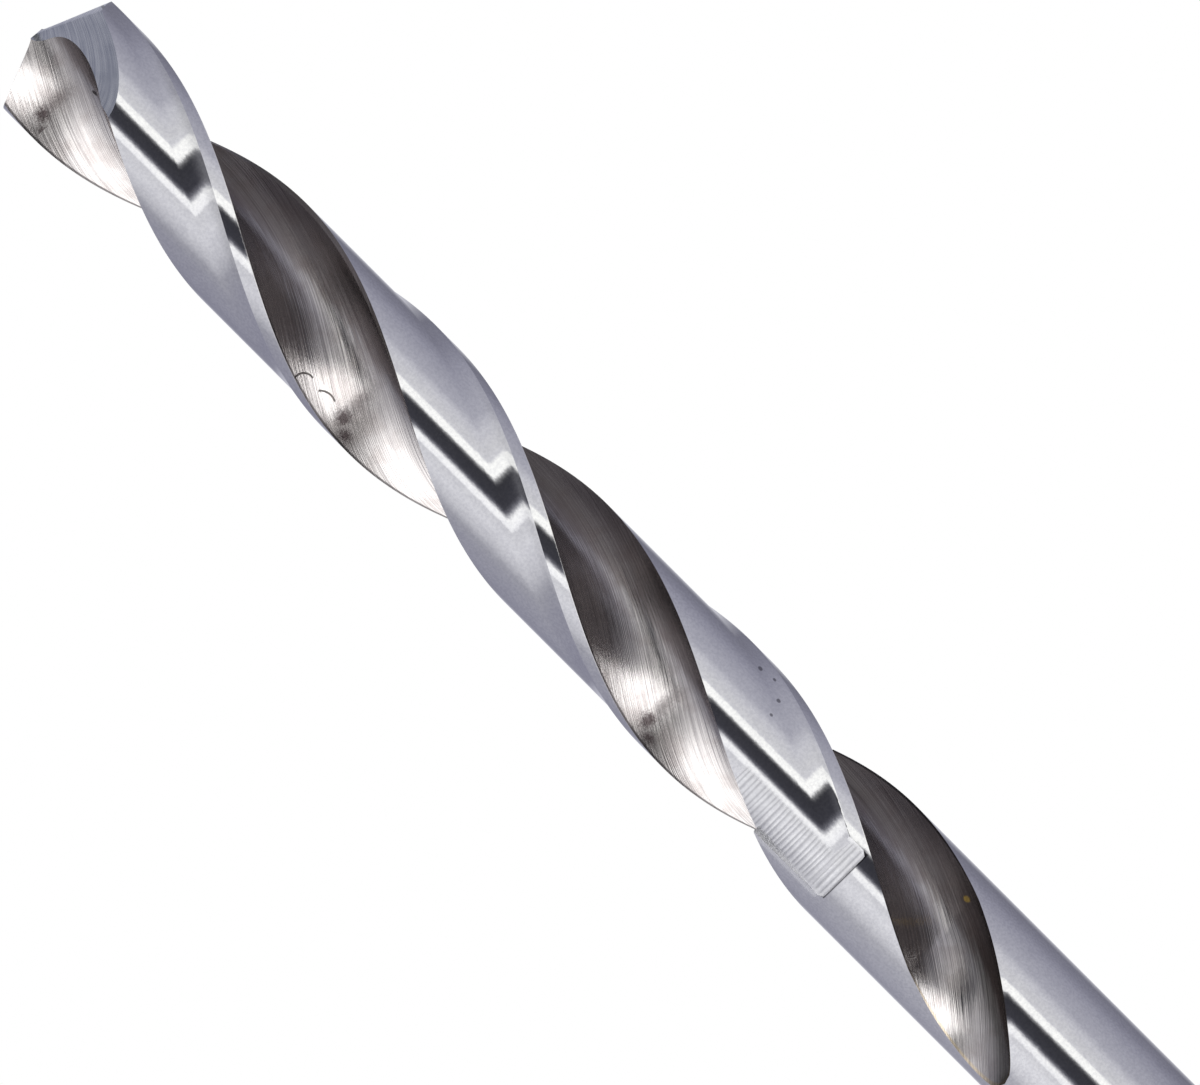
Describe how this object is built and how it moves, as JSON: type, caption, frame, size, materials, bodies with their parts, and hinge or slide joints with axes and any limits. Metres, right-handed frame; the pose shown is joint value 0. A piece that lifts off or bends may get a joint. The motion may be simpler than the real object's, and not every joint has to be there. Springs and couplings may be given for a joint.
{
  "type": "twist drill bit",
  "caption": "Twist drill bit with a plain round shank, helical flutes that run out into it, relieved lands with narrow margins, and a ground chisel point.",
  "frame": {"origin": "centre of the flat end of the shank", "axes": "+Z along the drill from shank to point; the lips lie 9 degrees round from +X, seen from the point"},
  "size_m": [0.008, 0.008, 0.117],
  "materials": {
    "tool_steel": "ground and bright, satin on the shank and lands, brighter in the flutes"
  },
  "bodies": {
    "root": {"drill_bit": "tool_steel"}
  },
  "joints": []
}
